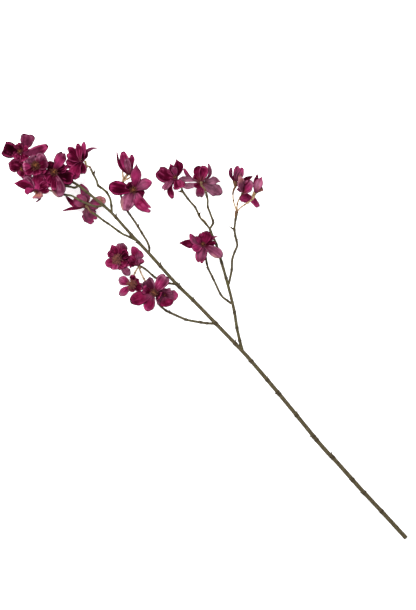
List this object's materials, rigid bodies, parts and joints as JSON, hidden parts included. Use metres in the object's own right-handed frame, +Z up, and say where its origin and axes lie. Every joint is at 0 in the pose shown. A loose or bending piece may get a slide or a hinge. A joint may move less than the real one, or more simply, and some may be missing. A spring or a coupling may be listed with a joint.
{
  "type": "flowering branch",
  "caption": "Cut flowering branch lying on a surface: a forked woody stem with side twigs, tan stalks at the twig ends, and dark magenta blooms with golden hearts.",
  "frame": {"origin": "middle of the bounding box, on the surface that the branch lies on", "axes": "+Z up from the surface, +Y along the stem from the cut end to the blooms at its tip, +X to the right, seen from above with the blooms ahead"},
  "size_m": [0.3716, 1.1228, 0.0807],
  "materials": {
    "wood": "matt bark",
    "stalk": "satin",
    "petal": "soft, with fine veins",
    "heart": "matt"
  },
  "bodies": {
    "root": {"bloom_a1_heart": "heart", "bloom_a1_petals": "petal", "bloom_a2_heart": "heart", "bloom_a2_petals": "petal", "bloom_a3_heart": "heart", "bloom_a3_petals": "petal", "bloom_a4_heart": "heart", "bloom_a4_petals": "petal", "bloom_a5_heart": "heart", "bloom_a5_petals": "petal", "bloom_a6_heart": "heart", "bloom_a6_petals": "petal", "bloom_a7_heart": "heart", "bloom_a7_petals": "petal", "bloom_b1_heart": "heart", "bloom_b1_petals": "petal", "bloom_b2_heart": "heart", "bloom_b2_petals": "petal", "bloom_c1_heart": "heart", "bloom_c1_petals": "petal", "bloom_c2_heart": "heart", "bloom_c2_petals": "petal", "bloom_d1_heart": "heart", "bloom_d1_petals": "petal", "bloom_d2_heart": "heart", "bloom_d2_petals": "petal", "bloom_d3_petals": "petal", "bloom_e1_heart": "heart", "bloom_e1_petals": "petal", "bloom_f1_heart": "heart", "bloom_f1_petals": "petal", "bloom_f2_heart": "heart", "bloom_f2_petals": "petal", "bloom_g1_heart": "heart", "bloom_g1_petals": "petal", "bloom_g2_heart": "heart", "bloom_g2_petals": "petal", "bloom_g3_heart": "heart", "bloom_g3_petals": "petal", "branch": "wood", "stalks_a_low": "stalk", "stalks_a_side": "stalk", "stalks_a_stem": "stalk", "stalks_a_tip": "stalk", "stalks_a_under": "stalk", "stalks_b": "stalk", "stalks_c_left": "stalk", "stalks_c_right": "stalk", "stalks_d": "stalk", "stalks_e": "stalk", "stalks_f": "stalk", "stalks_g": "stalk"}
  },
  "joints": []
}
